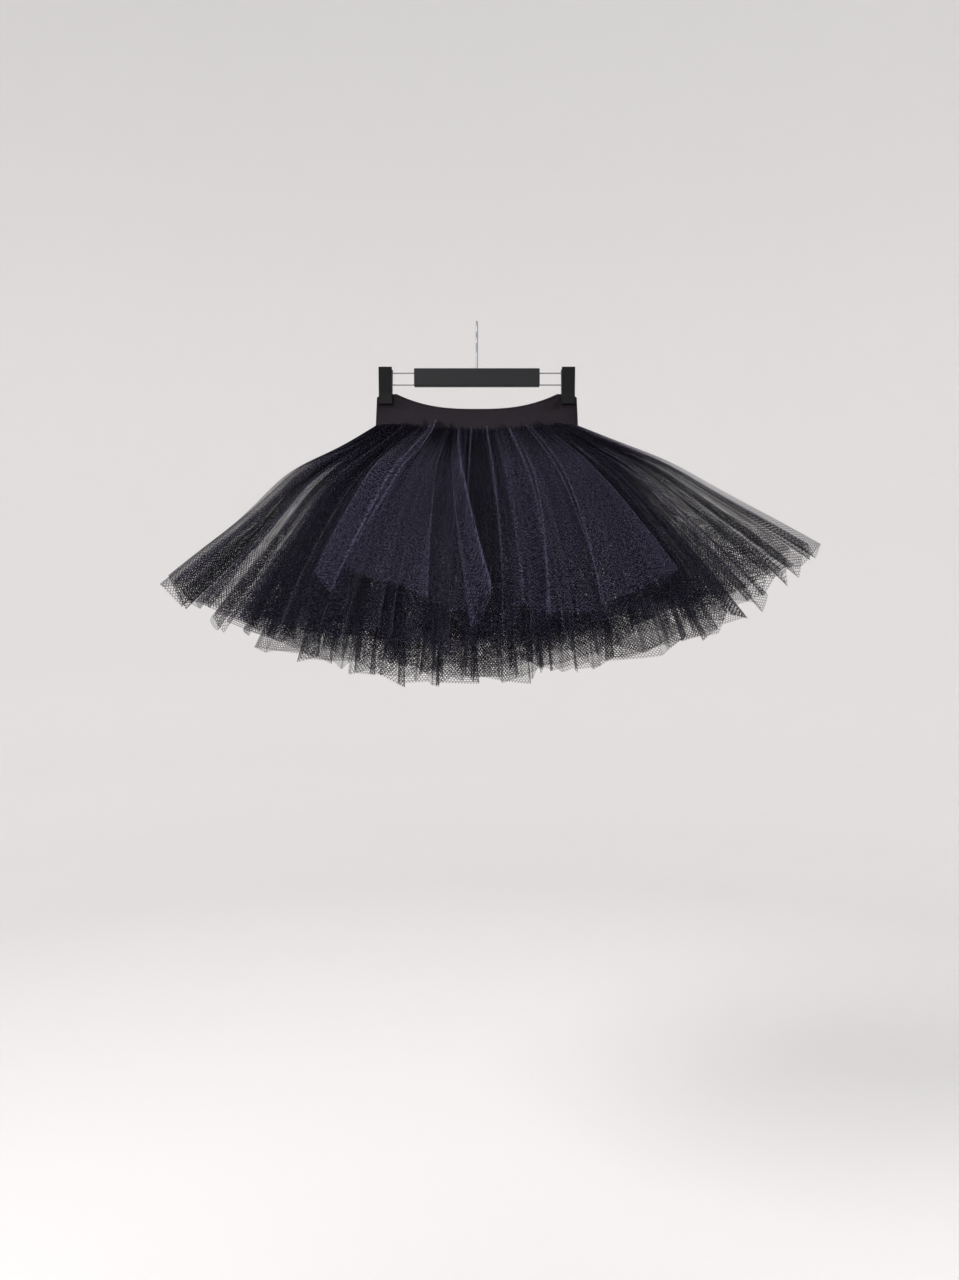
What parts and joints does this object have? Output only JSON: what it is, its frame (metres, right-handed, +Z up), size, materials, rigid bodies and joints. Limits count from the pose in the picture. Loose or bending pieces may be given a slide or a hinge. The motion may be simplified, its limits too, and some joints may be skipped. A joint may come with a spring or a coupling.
{
  "type": "tulle skirt on a clip hanger",
  "caption": "Short full skirt of gathered net layers under a smooth stretch waistband, hung flat by the two clips of a short skirt hanger with a wire hook.",
  "frame": {"origin": "the point inside the hook that bears on the rail", "axes": "+X along the hanger to the viewer's right, -Y the front of the skirt, +Z up"},
  "size_m": [0.9882, 0.6566, 0.5511],
  "materials": {
    "knit": "fine black stretch knit, matt",
    "net": "soft black nylon net, see-through where it lies single",
    "hanger_plastic": "moulded black plastic, satin",
    "hanger_steel": "bright plated steel wire"
  },
  "bodies": {
    "root": {"waistband": "knit", "tulle_outer": "net", "tulle_second": "net", "tulle_third": "net", "tulle_fourth": "net", "tulle_inner": "net", "hanger_bar": "hanger_plastic", "hanger_hook": "hanger_steel", "hanger_wire_left": "hanger_steel", "hanger_wire_right": "hanger_steel", "clip_left_front": "hanger_plastic", "clip_left_back": "hanger_plastic", "clip_right_front": "hanger_plastic", "clip_right_back": "hanger_plastic"}
  },
  "joints": []
}
